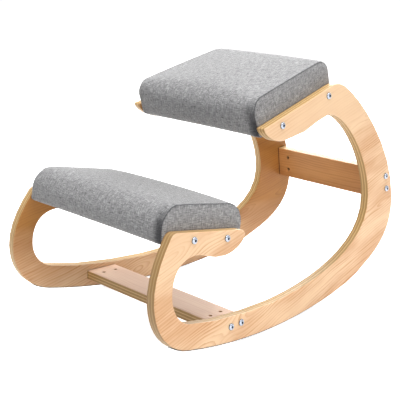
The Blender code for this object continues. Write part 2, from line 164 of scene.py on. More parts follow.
class Finish:
    """One material's node tree, built from short calls. A value is a socket, a number or a tuple."""

    def __init__(self, name):
        self.material = bpy.data.materials.new(name)
        self.material.use_nodes = True
        self.tree = self.material.node_tree
        self.shader = self.tree.nodes["Principled BSDF"]

    def feed(self, socket, value):
        """Links a socket to a value, or sets it."""
        if isinstance(value, bpy.types.NodeSocket):
            self.tree.links.new(value, socket)
        elif socket.type == "RGBA":
            socket.default_value = (*value[:3], 1.0)
        else:
            socket.default_value = value

    def node(self, kind, inputs, **options):
        """A node with its options and inputs, by place or name."""
        made = self.tree.nodes.new(kind)
        for option, value in options.items():
            setattr(made, option, value)
        for key, value in inputs.items():
            self.feed(made.inputs[key], value)
        return made

    def math(self, operation, first, second=0.0, third=0.0):
        """One step of arithmetic."""
        made = self.node("ShaderNodeMath", {0: first, 1: second, 2: third}, operation=operation)
        return made.outputs[0]

    def times(self, first, second):
        """One value times another."""
        return self.math("MULTIPLY", first, second)

    def stretched(self, values, rates, *rest):
        """Values, each times its own rate, and the rest as they are, as one vector."""
        return self.vector(*(self.times(value, rate) for value, rate in zip(values, rates)), *rest)

    def spot(self):
        """The place on the piece."""
        return self.node("ShaderNodeTexCoord", {}).outputs["Object"]

    def cloth_spot(self):
        """The place on the piece's flat pattern, in metres."""
        return self.node("ShaderNodeUVMap", {}, uv_map="pattern").outputs["UV"]

    def attribute(self, name):
        """A value kept in the piece's mesh."""
        return self.node("ShaderNodeAttribute", {}, attribute_name=name).outputs["Fac"]

    def along(self, vector, direction):
        """The length of a vector in one direction."""
        inputs = {0: vector, 1: tuple(direction)}
        return self.node("ShaderNodeVectorMath", inputs, operation="DOT_PRODUCT").outputs["Value"]

    def minus(self, vector, offset):
        """A vector from another place."""
        inputs = {0: vector, 1: tuple(offset)}
        return self.node("ShaderNodeVectorMath", inputs, operation="SUBTRACT").outputs["Vector"]

    def vector(self, x, y, z=0.0):
        """Three values as one vector."""
        return self.node("ShaderNodeCombineXYZ", {0: x, 1: y, 2: z}).outputs[0]

    def parts(self, vector):
        """One vector as three values."""
        return self.node("ShaderNodeSeparateXYZ", {0: vector}).outputs

    def grain(self, vector, scale, detail=2.0, roughness=0.5, distortion=0.0):
        """Even noise from 0 to 1."""
        inputs = {"Vector": vector, "Scale": scale, "Detail": detail}
        inputs.update({"Roughness": roughness, "Distortion": distortion})
        return self.node("ShaderNodeTexNoise", inputs).outputs["Fac"]

    def centred(self, value, reach):
        """Noise moved to lie about 0, at a given reach."""
        return self.times(self.math("SUBTRACT", value, 0.5), 2 * reach)

    def ramp(self, value, stops):
        """Colours, or grey values, by place along a ramp."""
        made = self.node("ShaderNodeValToRGB", {0: value})
        elements = made.color_ramp.elements
        while len(elements) < len(stops):
            elements.new(1.0)
        for element, (place, colour) in zip(elements, stops):
            element.position = place
            grey = isinstance(colour, (int, float))
            element.color = (colour, colour, colour, 1.0) if grey else (*colour[:3], 1.0)
        return made.outputs["Color"]

    def mix(self, factor, first, second):
        """Two colours mixed."""
        made = self.node("ShaderNodeMix", {}, data_type="RGBA")
        self.feed(made.inputs["Factor"], factor)
        self.feed(made.inputs[6], first)
        self.feed(made.inputs[7], second)
        return made.outputs[2]

    def between(self, value, low, high):
        """A value from 0 to 1 spread between two limits."""
        made = self.node("ShaderNodeMapRange", {"Value": value, "To Min": low, "To Max": high})
        return made.outputs["Result"]

    def bump(self, height, strength, distance):
        """A normal from a height."""
        inputs = {"Height": height, "Strength": strength, "Distance": distance}
        return self.node("ShaderNodeBump", inputs).outputs["Normal"]

    def wear(self, **values):
        """Feeds the shader's sockets, named with underscores for spaces."""
        for name, value in values.items():
            self.feed(self.shader.inputs[name.replace("_", " ")], value)
        return self.material


def plywood(name, looks, origin, inward, along, across, heart, plainness, tones, edge, painted_joint_shadow=0.0, painted_front_shade=0.0):
    """Satin plywood: a face veneer with rings and fibres, and plies that show at the edges.

    Origin is a point on the outer face, and inward is the direction through the plies from it. Along
    is the grain's direction, and across is square to it. Heart is where, across the grain, the rings'
    middle comes to the face, and plainness is how much of the face has faint rings. Tones name the
    veneers of the outer and the inner face; the inner one is the wood painted in shade. Edge is how pale
    the plies are, set paler on the left frame and the lower stretcher as painted light. The last two
    arguments are how dark the painted shadow in the joints with the side frames is, and how much painted
    shade darkens the plies at the chair's front.
    """
    finish = Finish(name)
    offset = finish.minus(finish.spot(), origin)
    deep, length, width = [finish.along(offset, way) for way in (inward, along, across)]
    sideways, back, up = finish.parts(finish.spot())

    # Rings of the trunk, cut almost along it, so that they meet the face as arches and lines
    slow = finish.stretched((length, width), (2.6, 9.0))
    wander = finish.centred(finish.grain(slow, 1.0, 2.0), 0.011)
    off_heart = finish.math("SUBTRACT", finish.math("ADD", width, wander), heart)
    off_heart = finish.math("PINGPONG", off_heart, looks.heart_spacing / 2)
    swing = finish.centred(finish.grain(finish.vector(length, heart), 5.0, 1.0), 0.060)
    swing = finish.math("POWER", finish.math("ABSOLUTE", swing), 2.0)
    radius = finish.math("SQRT", finish.math("ADD", finish.math("POWER", off_heart, 2.0), swing))
    uneven = finish.grain(finish.stretched((length, width), (5.0, 60.0)), 1.0, 3.0)
    phase = finish.math("DIVIDE", radius, looks.ring_width)
    phase = finish.math("ADD", phase, finish.centred(uneven, 0.75))
    late = finish.math("FRACT", phase)
    late = finish.ramp(late, ((0.0, 0.0), (0.38, 0.04), (0.76, 0.62), (0.90, 1.0), (1.0, 0.0)))

    # Some rings are stronger than others, some patches are plain, and all fade high on the frames
    ring = finish.stretched((finish.math("FLOOR", phase), length), (5.3, 7.0))
    late = finish.times(late, finish.ramp(finish.grain(ring, 1.0, 1.0), ((0.36, 0.20), (0.64, 1.0))))
    strength = finish.ramp(finish.grain(slow, 2.3, 1.0), ((plainness, 0.55), (plainness + 0.20, 1.0)))
    fading = finish.ramp(width, ((0.23, 1.0), (0.31, 0.30)))
    late = finish.times(late, finish.times(strength, fading))

    # Painted shade and light on the inner faces: the inner tone is the wood painted in shade, and near the
    # floor, most at the front, and under the seat it gives way to the paler outer tone as painted light
    inside = finish.math("GREATER_THAN", deep, PLY / 2)
    height = finish.math("MULTIPLY_ADD", back, 0.08, up)
    inner_shade_share = finish.ramp(height, ((0.045, 0.0), (0.15, 1.0), (0.345, 1.0), (0.435, 0.45)))
    inside = finish.times(inside, inner_shade_share)
    early, dense = [
        finish.mix(inside, *(getattr(looks, tone + kind) for tone in tones)) for kind in ("_early", "_late")
    ]

    # A slow change of tone, the rings and the fibres
    slow_tone = finish.ramp(finish.grain(slow, 1.9, 3.0), ((0.40, 0.0), (0.60, 0.46)))
    fibre = finish.grain(finish.stretched((length, width, deep), (28.0, 950.0, 950.0)), 1.0, 3.0, 0.6)
    veneer = finish.mix(finish.times(slow_tone, fading), early, dense)
    veneer = finish.mix(late, veneer, dense)
    veneer = finish.mix(finish.times(fibre, 0.14), veneer, dense)

    # The plies, seen at the edges, and the face veneers over them
    ripple = finish.grain(finish.spot(), 55.0, 2.0)
    layer = finish.math("DIVIDE", finish.math("ADD", deep, finish.centred(ripple, 0.0002)), PLY)
    pale, dark, glue = [
        tuple(edge * part for part in tone) for tone in (looks.ply_pale, looks.ply_dark, looks.glue_line)
    ]
    plies = finish.ramp(layer, (
        (0.00, pale), (0.085, pale), (0.095, glue), (0.115, dark), (0.245, dark),
        (0.255, glue), (0.275, pale), (0.405, pale), (0.415, glue), (0.445, dark),
        (0.575, dark), (0.585, glue), (0.605, pale), (0.735, pale), (0.745, glue),
        (0.765, dark), (0.895, dark), (0.905, glue), (0.925, pale), (1.00, pale),
    ))
    streak = finish.grain(finish.stretched((length, width, deep), (260.0, 260.0, 900.0)), 1.0, 3.0, 0.65)
    plies = finish.mix(finish.between(streak, 0.0, 0.40), plies, dark)
    # Painted shade: the plies toward the chair's front are darkened toward the glue line's colour
    if painted_front_shade:
        # A ramp reads only 0 to 1, so it starts half a metre in front of the chair's middle
        from_front = finish.math("ADD", back, 0.5)
        plies = finish.mix(finish.ramp(from_front, ((0.20, painted_front_shade), (0.30, 0.0))), plies, glue)
    veneered = finish.ramp(layer, ((0.0, 1.0), (0.055, 1.0), (0.07, 0.0), (0.93, 0.0), (0.945, 1.0)))
    colour = finish.mix(veneered, plies, veneer)
    # Painted shadow in the joints, where a stretcher's ends meet the side frames
    if painted_joint_shadow:
        mirrored = finish.vector(finish.math("ABSOLUTE", sideways), back, up)
        gap = finish.math("SUBTRACT", INNER_LEVEL + CLEARANCE, finish.along(mirrored, OUTWARD))
        joint = finish.ramp(finish.math("DIVIDE", gap, looks.joint), ((0.55, painted_joint_shadow), (1.0, 0.0)))
        colour = finish.mix(joint, colour, looks.joint_shade)

    relief = finish.math("MULTIPLY_ADD", fibre, 0.5, finish.times(late, 0.5))
    return finish.wear(
        Base_Color=colour,
        Roughness=finish.between(fibre, looks.roughness - 0.06, looks.roughness + 0.10),
        Normal=finish.bump(relief, 0.22, 0.00012),
        Coat_Weight=0.12,
        Coat_Roughness=0.26,
        Specular_IOR_Level=0.28,
    )


def linen(name, looks):
    """Heathered linen: slubby warp and weft of several greys in a plain weave, with dark seams of thread
    and painted shade, and painted crease shade beside the front seams.
    """
    finish = Finish(name)
    across, around, _ = finish.parts(finish.cloth_spot())
    warp = finish.math("DIVIDE", across, looks.thread)
    weft = finish.math("DIVIDE", around, looks.thread)
    warp_thread = finish.math("FLOOR", warp)
    weft_thread = finish.math("FLOOR", weft)

    def yarn(thread, run, seed):
        """Tone along a yarn that thickens and thins."""
        return finish.grain(finish.stretched((thread, run), (7.31, 0.11), seed), 1.0, 2.0, 0.6)

    warp_tone = yarn(warp_thread, weft, 3.0)
    weft_tone = yarn(weft_thread, warp, 11.0)
    over = finish.math("PINGPONG", finish.math("ADD", warp_thread, weft_thread), 1.0)
    under = finish.math("SUBTRACT", 1.0, over)
    tone = finish.math("MULTIPLY_ADD", weft_tone, under, finish.times(warp_tone, over))

    # Slubs that run along the yarns both ways, and a broad unevenness of the dye
    level = finish.times(tone, 0.36)
    for along, crosswise, seed in ((across, around, 0.0), (around, across, 5.0)):
        slub = finish.grain(finish.stretched((along, crosswise), (85.0, 600.0), seed), 1.0, 3.0, 0.60)
        level = finish.math("MULTIPLY_ADD", slub, 0.32, level)
    colour = finish.ramp(level, (
        (0.405, looks.dark_yarn), (0.475, looks.mid_yarn),
        (0.515, looks.mid_yarn), (0.590, looks.light_yarn),
    ))
    broad = finish.grain(finish.vector(across, around), 38.0, 3.0)
    colour = finish.mix(finish.between(broad, 0.0, 0.07), colour, looks.dark_yarn)
    # Painted shade: the seams' dark line of thread and shadow, and the crease shade beside the front seams
    colour = finish.mix(finish.times(finish.attribute("seam"), 0.90), colour, looks.seam)

    def crown(run):
        """Height across one round yarn."""
        return finish.math("SINE", finish.times(finish.math("FRACT", run), math.pi))

    height = finish.math("MULTIPLY_ADD", crown(weft), under, finish.times(crown(warp), over))
    height = finish.math("MULTIPLY_ADD", tone, 0.8, height)
    return finish.wear(
        Base_Color=colour,
        Roughness=0.95,
        Specular_IOR_Level=0.15,
        Sheen_Weight=0.55,
        Sheen_Roughness=0.32,
        Sheen_Tint=(1.0, 1.0, 1.0),
        Normal=finish.bump(height, 0.40, 0.0004),
    )


def dust_cloth(name, looks):
    """Black spunbond cloth: pressed fibres and a grid of small welded dots."""
    finish = Finish(name)
    place = finish.spot()
    fibres = finish.grain(place, 900.0, 3.0, 0.7, 1.5)
    across, around, _ = finish.parts(place)
    dots = finish.times(*(finish.math("SINE", finish.times(way, 2100.0)) for way in (across, around)))
    height = finish.math("MULTIPLY_ADD", dots, 0.5, fibres)
    colour = finish.mix(fibres, looks.dust_dark, looks.dust_pale)
    rough = finish.between(fibres, 0.75, 0.95)
    return finish.wear(Base_Color=colour, Roughness=rough, Normal=finish.bump(height, 0.5, 0.0002))


def grip_rubber(name, looks):
    """Dark grip strip: fine pebbled rubber with dust in its grain."""
    finish = Finish(name)
    place = finish.spot()
    pebble = finish.node("ShaderNodeTexVoronoi", {"Vector": place, "Scale": 900.0}).outputs["Distance"]
    dust = finish.grain(place, 70.0, 4.0, 0.65)
    colour = finish.mix(finish.between(dust, 0.0, 0.5), looks.rubber, looks.rubber_dust)
    rough = finish.between(dust, 0.70, 0.95)
    return finish.wear(Base_Color=colour, Roughness=rough, Normal=finish.bump(pebble, 0.4, 0.0002))


def plated_steel(name, looks, bright, dull):
    """Plated steel with a fine turned surface, duller patches and painted shade in its recesses."""
    finish = Finish(name)
    place = finish.spot()
    cloud = finish.grain(place, 420.0, 3.0, 0.6)
    turned = finish.grain(place, 2600.0, 2.0, 0.6)
    colour = finish.mix(finish.between(cloud, 0.0, 0.5), bright, dull)
    # Painted shade inside the sockets and slots, and under the bolts' heads
    colour = finish.mix(finish.attribute("recess"), colour, looks.recess)
    rough = finish.between(turned, 0.18, 0.36)
    relief = finish.bump(turned, 0.15, 0.00005)
    return finish.wear(Base_Color=colour, Metallic=1.0, Roughness=rough, Normal=relief)


def tint(name, description, default):
    """A colour that a user may change."""
    return FloatVectorProperty(
        name=name, description=description, subtype="COLOR", size=3, min=0.0, max=1.0, default=default
    )


def measure(name, description, default):
    """A length that a user may change."""
    return FloatProperty(
        name=name, description=description, unit="LENGTH", min=0.0, precision=5, default=default
    )


def lamp_power(name, description, default):
    """A lamp's power that a user may change."""
    return FloatProperty(name=name, description=description, unit="POWER", min=0.0, default=default)


def portion(name, description, default):
    """A share from 0 to 1 that a user may change."""
    return FloatProperty(
        name=name, description=description, subtype="FACTOR", min=0.0, max=1.0, default=default
    )


class ChairWood(bpy.types.PropertyGroup):
    """Looks of the plywood."""

    outer_early: tint("Outer earlywood", "Pale wood of the frames' outer faces", (0.935, 0.655, 0.405))
    outer_late: tint("Outer latewood", "Ring lines of the frames' outer faces", (0.54, 0.210, 0.056))
    # The inner tones are the frames' wood painted in shade: darker and more orange than the outer tones
    inner_early: tint("Inner earlywood", "Pale wood of the frames' inner faces", (0.445, 0.196, 0.045))
    inner_late: tint("Inner latewood", "Ring lines of the frames' inner faces", (0.255, 0.094, 0.021))
    rear_early: tint("Rear earlywood", "Pale wood of the rear stretcher", (0.60, 0.285, 0.096))
    rear_late: tint("Rear latewood", "Ring lines of the rear stretcher", (0.42, 0.178, 0.053))
    # The lower tones are painted paler than the stretcher's wood: painted light under the knee pad
    lower_early: tint("Lower earlywood", "Pale wood of the lower stretcher", (0.99, 0.70, 0.51))
    lower_late: tint("Lower latewood", "Ring lines of the lower stretcher", (0.82, 0.51, 0.345))
    ply_pale: tint("Pale ply", "Plies cut along the grain", (0.60, 0.415, 0.19))
    ply_dark: tint("Dark ply", "Plies cut across the grain", (0.39, 0.230, 0.088))
    glue_line: tint("Glue line", "Thin lines between the plies", (0.20, 0.11, 0.045))
    ring_width: measure("Ring width", "Distance from one ring line to the next", 0.0058)
    heart_spacing: measure("Heart spacing", "Distance between the middles of two arched figures", 0.208)
    joint: measure("Joint shadow", "Width of the dark line where a stretcher meets a frame", 0.0032)
    joint_shade: tint("Joint shade", "Dark line where a stretcher meets a frame", (0.045, 0.02, 0.008))
    roughness: portion("Roughness", "Roughness of the satin finish", 0.46)


class ChairCloth(bpy.types.PropertyGroup):
    """Looks and form of the pads."""

    light_yarn: tint("Light yarn", "Palest yarn of the heathered linen", (0.55, 0.55, 0.555))
    mid_yarn: tint("Middle yarn", "Most common yarn of the heathered linen", (0.30, 0.298, 0.302))
    dark_yarn: tint("Dark yarn", "Darkest yarn of the heathered linen", (0.128, 0.127, 0.131))
    # The seam colour is the thread and painted shade at the seams, and the painted crease shade beside them
    seam: tint("Seam", "Shadowed thread in the seams", (0.032, 0.032, 0.036))
    dust_dark: tint("Dust cover", "Black cloth under the pads", (0.012, 0.012, 0.013))
    dust_pale: tint("Dust cover fibre", "Fibres that catch the light under the pads", (0.05, 0.05, 0.052))
    thread: measure("Thread", "Distance between two threads of the weave", 0.0013)
    shrink: measure("Shrink", "How much smaller the cloth starts before it is filled", 0.0012)
    most_swell: measure("Most swell", "Furthest that filling may move the cloth", 0.009)
    seam_tuck: measure("Seam tuck", "Depth that the wrapped cloth turns in at a seam", 0.0080)
    seam_reach: measure("Seam reach", "Distance from a seam where the cloth starts to turn in", 0.014)
    seam_inset: measure("Seam inset", "How far the seams lie inside the pad's flat ends", 0.0015)
    edge_bow: measure("Edge bow", "How far the lower edges are drawn up between their corners", 0.0040)
    pucker: measure("Pucker", "Height of the small gathers along a seam", 0.0005)


class ChairHardware(bpy.types.PropertyGroup):
    """Looks and sizes of the steel and rubber."""

    steel: tint("Steel", "Bright plating of the bolts and nuts", (0.40, 0.44, 0.51))
    tarnish: tint("Tarnish", "Duller patches of the plating", (0.26, 0.29, 0.35))
    nut_steel: tint("Nut steel", "Dark plating of the barrel nuts", (0.11, 0.10, 0.09))
    recess: tint("Recess", "Shaded steel inside sockets and slots", (0.03, 0.036, 0.055))
    rubber: tint("Rubber", "Grip strips under the runners", (0.022, 0.022, 0.024))
    rubber_dust: tint("Rubber dust", "Dust in the grip strips", (0.09, 0.085, 0.08))
    head: measure("Bolt head", "Diameter of the button heads", 0.013)
    head_height: measure("Head height", "Height of the button heads", 0.0036)
    socket: measure("Socket", "Width across the flats of the hex socket", 0.005)
    shank: measure("Shank", "Diameter of the bolts", 0.005)
    bolt_length: measure("Bolt length", "Length of the bolts under the head", 0.060)
    nut: measure("Nut", "Diameter of the barrel nuts", 0.007)
    nut_length: measure("Nut length", "Length of the barrel nuts", 0.012)


class ChairStage(bpy.types.PropertyGroup):
    """The light and the floor."""

    floor: tint("Floor", "Colour of the floor", (0.80, 0.80, 0.80))
    floor_lift: portion("Floor lift", "How much whiter the floor is shown than it is lit", 0.90)
    ambient: portion("Ambient", "Light from all round", 0.17)
    key: lamp_power("Key", "Soft light from the front right", 10.0)
    side: lamp_power("Side", "Soft light from the right", 24.0)
    top: lamp_power("Top", "Soft light from overhead", 112.0)
    back: lamp_power("Back", "Soft light from behind", 124.0)
    lens: FloatProperty(
        name="Lens", description="Focal length of the camera", unit="CAMERA", min=1.0, default=87.75
    )


class CHAIR_OT_side_frames(bpy.types.Operator):
    """Dresses both side frames in plywood that follows each frame's own plane"""

    bl_idname = "chair.side_frames"
    bl_label = "Side Frames"

    GRAIN = math.radians(15.0)

    # Where each frame's rings have their middle, how pale its plies are, paler on the left as painted
    # light, and how much painted shade darkens its plies in front
    VENEERS = {"right": (0.082, 1.18, 0.45), "left": (0.040, 1.30, 0.0)}

    def execute(self, context):
        for side_name, side in SIDES.items():
            outward, back, up = panel_axes(side)
            along = math.cos(self.GRAIN) * back + math.sin(self.GRAIN) * up
            across = math.cos(self.GRAIN) * up - math.sin(self.GRAIN) * back
            piece = node_copy("side_frame_" + side_name, "plywood_frame_" + side_name)
            heart, edge, painted_front_shade = self.VENEERS[side_name]
            material = plywood(
                "frame_plywood_" + side_name, context.scene.chair_wood,
                outer_face(side_name), -outward, along, across,
                heart=heart, plainness=0.42, tones=("outer", "inner"), edge=edge, painted_front_shade=painted_front_shade,
            )
            wear(piece, material)
        return {"FINISHED"}


class CHAIR_OT_stretchers(bpy.types.Operator):
    """Dresses the two stretchers and the hidden pad boards in plywood"""

    bl_idname = "chair.stretchers"
    bl_label = "Stretchers and Boards"

    def execute(self, context):
        wood = context.scene.chair_wood
        sideways = (1, 0, 0)
        low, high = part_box("lower_stretcher")
        piece = node_copy("lower_stretcher", "lower_crossboard")
        top = Vector((0, (low.y + high.y) / 2, high.z))
        # Painted light: the lower stretcher's pale tones and plies stand in for light reaching it under the
        # knee pad
        material = plywood(
            "lower_plywood", wood, top, (0, 0, -1), sideways, (0, 1, 0),
            heart=0.05, plainness=0.36, tones=("lower", "lower"), edge=1.45, painted_joint_shadow=0.45,
        )
        wear(piece, material)

        backward, upward = tilted_axes(REAR_TILT)
        front = min(points_of("rear_stretcher"), key=backward.dot)
        piece = node_copy("rear_stretcher", "rear_crossboard")
        material = plywood(
            "rear_plywood", wood, front, backward, sideways, upward,
            heart=-0.14, plainness=0.30, tones=("rear", "rear"), edge=0.90, painted_joint_shadow=0.90,
        )
        wear(piece, material)

        for pad, slope in PAD_SLOPES.items():
            backward, upward = tilted_axes(slope)
            top = max(points_of(pad + "_board"), key=upward.dot)
            material = plywood(
                pad + "_board_plywood", wood, top, -upward, sideways, backward,
                heart=0.0, plainness=0.5, tones=("rear", "rear"), edge=1.0,
            )
            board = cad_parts[pad + "_board"].data
            board.materials.clear()
            board.materials.append(material)
        return {"FINISHED"}


class CHAIR_OT_runner_strips(bpy.types.Operator):
    """Dresses the grip strips under the runners"""

    bl_idname = "chair.runner_strips"
    bl_label = "Runner Strips"

    def execute(self, context):
        for side_name in SIDES:
            piece = node_copy("runner_strip_" + side_name, "grip_strip_" + side_name)
            wear(piece, grip_rubber("grip_rubber_" + side_name, context.scene.chair_hardware))
        return {"FINISHED"}


def axis_of(node, outward):
    """The outer end of the middle line of a round CAD node, whose direction is given."""
    points = points_of(node)
    first = outward.orthogonal().normalized()
    middle = Vector((0, 0, 0))
    for axis in (first, outward.cross(first)):
        reach = [axis.dot(point) for point in points]
        middle += axis * (min(reach) + max(reach)) / 2
    return middle + outward * max(outward.dot(point) for point in points)


def put_copies(pattern, kind, title, material, place):
    """Puts a copy of a pattern in place of each CAD node of a kind, and removes the pattern.

    Place gives a copy's matrix from the node and the three axes of the side frame that it is in.
    """
    for node in sorted(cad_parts):
        if not node.startswith(kind):
            continue
        side = 1 if node.endswith("_right") else -1
        mesh = pattern.data.copy()
        mesh.transform(place(node, *panel_axes(side)))
        piece = bpy.data.objects.new(title + node, mesh)
        bpy.context.collection.objects.link(piece)
        wear(piece, material)
        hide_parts(node)
    bpy.data.objects.remove(pattern)


def raise_top(piece, steps, start):
    """Extrudes a round piece's top face through radius and height steps."""
    radius, height = start
    for next_radius, next_height in steps:
        pick_faces(
            piece, lambda face: face.normal.z > 0.9 and abs(face.calc_center_median().z - height) < 1e-7
        )
        bpy.ops.mesh.extrude_region_move(TRANSFORM_OT_translate={"value": (0, 0, next_height - height)})
        scale = next_radius / radius
        bpy.ops.transform.resize(value=(scale, scale, 1.0), center_override=(0, 0, next_height))
        radius, height = next_radius, next_height


def cut_with_active(piece):
    """Cuts the active object out of a piece and removes it."""
    cutter = bpy.context.object
    change = piece.modifiers.new("cut", "BOOLEAN")
    change.operation = "DIFFERENCE"
    change.solver = "EXACT"
    change.object = cutter
    apply_modifiers(piece)
    bpy.data.objects.remove(cutter)


FULL_SHADE_DEPTH = 0.0006


def darken(piece, depth):
    """Keeps in a piece's mesh how deep each point lies in a recess, up to the depth of full shade."""
    recess = piece.data.attributes.new("recess", "FLOAT", "POINT")
    for vertex, value in zip(piece.data.vertices, recess.data):
        value.value = max(0.0, min(1.0, depth(vertex.co) / FULL_SHADE_DEPTH))


class CHAIR_OT_bolts(bpy.types.Operator):
    """Models one button-head bolt and puts a copy in place of each CAD bolt"""

    bl_idname = "chair.bolts"
    bl_label = "Bolts"

    def model(self, sizes):
        """One bolt along Z, its head's top at Z = 0."""
        radius, height = sizes.head / 2, sizes.head_height
        foot, disc, rim = radius * 0.965, 0.0002, 0.0008
        rise = height - rim
        socket_depth, shade_start = 0.0022, 0.0002
        tip, tip_taper = 0.0005, 0.8

        # A thin disc, raised through a straight rim and a dome to a small flat top
        deselect_all()
        bpy.ops.mesh.primitive_cylinder_add(
            vertices=48, radius=foot, depth=disc, location=(0, 0, disc / 2 - height), end_fill_type="NGON"
        )
        bolt = bpy.context.object
        bpy.ops.object.transform_apply(location=True)
        bpy.ops.object.mode_set(mode="EDIT")
        dome = [(radius, rim / 2 - height), (radius, rim - height)]
        for turn in (math.radians(angle) for angle in range(10, 70, 10)):
            dome.append((radius * (0.42 + 0.58 * math.cos(turn)), rise * math.sin(turn) - rise))
        dome += [(radius * 0.62, -0.00018), (radius * 0.54, -0.00004), (radius * 0.48, 0.0)]
        raise_top(bolt, dome, (foot, disc - height))

        # The shank, drawn from the underside to a tapered tip
        pick_faces(bolt, lambda face: face.normal.z < -0.9)
        bpy.ops.mesh.inset(thickness=foot - sizes.shank / 2)
        for step in (tip - sizes.bolt_length, -tip):
            bpy.ops.mesh.extrude_region_move(TRANSFORM_OT_translate={"value": (0, 0, step)})
        bpy.ops.transform.resize(value=(tip_taper, tip_taper, 1.0), center_override=(0, 0, 0))
        bpy.ops.object.mode_set(mode="OBJECT")

        # The hex socket, and a cone that opens its mouth
        bpy.ops.mesh.primitive_cylinder_add(
            vertices=6, radius=sizes.socket / math.sqrt(3),
            depth=2 * socket_depth + disc, location=(0, 0, disc / 2),
        )
        cut_with_active(bolt)
        bpy.ops.mesh.primitive_cone_add(
            vertices=48, radius1=sizes.socket * 0.30, radius2=sizes.socket * 0.63,
            depth=0.0012, location=(0, 0, 0.0002),
        )
        cut_with_active(bolt)
        smooth(bolt, 30)

        def depth(spot):
            """How deep a point lies in the socket, or under the head."""
            return -spot.z - (shade_start if spot.xy.length < sizes.socket * 0.6 else socket_depth)

        # Painted shade in the socket and under the head
        darken(bolt, depth)
        return bolt

    @staticmethod
    def place(node, outward, *_):
        """Puts a bolt on its middle line, its head on the frame's outer face."""
        turn = outward.to_track_quat("Z", "Y").to_matrix().to_4x4()
        return Matrix.Translation(axis_of(node, outward)) @ turn

    def execute(self, context):
        sizes = context.scene.chair_hardware
        pattern = self.model(sizes)
        steel = plated_steel("bolt_steel", sizes, sizes.steel, sizes.tarnish)
        put_copies(pattern, "bolt_", "button_", steel, self.place)
        return {"FINISHED"}


class CHAIR_OT_barrel_nuts(bpy.types.Operator):
    """Models one slotted barrel nut and puts a copy in place of each CAD nut"""

    bl_idname = "chair.barrel_nuts"
    bl_label = "Barrel Nuts"

    # Which way the nuts' holes open, by the board that holds them
    MOUTHS = {
        "lower": Vector((0, 0, 1)), "rear": -tilted_axes(REAR_TILT)[0],
        **{pad: -tilted_axes(slope)[1] for pad, slope in PAD_SLOPES.items()},
    }

    def model(self, sizes):
        """One nut along Z, its slotted top at Z = 0."""
        radius, length = sizes.nut / 2, sizes.nut_length
        slot_width, slot_depth, bevel = 0.0011, 0.0011, 0.0003
        slot_half = 0.0006

        # A round bar with bevelled ends
        deselect_all()
        bpy.ops.mesh.primitive_cylinder_add(
            vertices=40, radius=radius, depth=length, location=(0, 0, -length / 2), end_fill_type="NGON"
        )
        nut = bpy.context.object
        bpy.ops.object.transform_apply(location=True)
        bpy.ops.object.mode_set(mode="EDIT")
        pick_faces(nut, lambda face: abs(face.normal.z) > 0.9)
        bpy.ops.mesh.region_to_loop()
        bpy.ops.mesh.bevel(offset=bevel, segments=2)
        bpy.ops.object.mode_set(mode="OBJECT")

        # The slot in its top, and the bore that the bolt goes through
        bpy.ops.mesh.primitive_cube_add(size=1.0, location=(0, 0, 0))
        bpy.context.object.scale = (slot_width, 2 * sizes.nut, 2 * slot_depth)
        cut_with_active(nut)
        bpy.ops.mesh.primitive_cylinder_add(
            vertices=32, radius=sizes.shank / 2 + CLEARANCE, depth=2 * sizes.nut,
            location=(0, 0, -length / 2), rotation=(0, math.pi / 2, 0),
        )
        cut_with_active(nut)
        smooth(nut, 30)
        # Painted shade at the bottom of the slot
        darken(nut, lambda spot: -bevel - spot.z if abs(spot.x) < slot_half else 0.0)
        return nut

    def place(self, node, bore, back, up):
        """Turns a nut's bore to its bolt and its slot to the mouth of its hole."""
        mouth = self.MOUTHS[node.split("_")[2]]
        top = (mouth.y * back + mouth.z * up).normalized()
        place = Matrix((bore, top.cross(bore), top)).transposed().to_4x4()
        place.translation = axis_of(node, top)
        return place

    def execute(self, context):
        sizes = context.scene.chair_hardware
        pattern = self.model(sizes)
        steel = plated_steel("nut_steel", sizes, sizes.nut_steel, sizes.recess)
        put_copies(pattern, "barrel_nut_", "slotted_", steel, self.place)
        return {"FINISHED"}


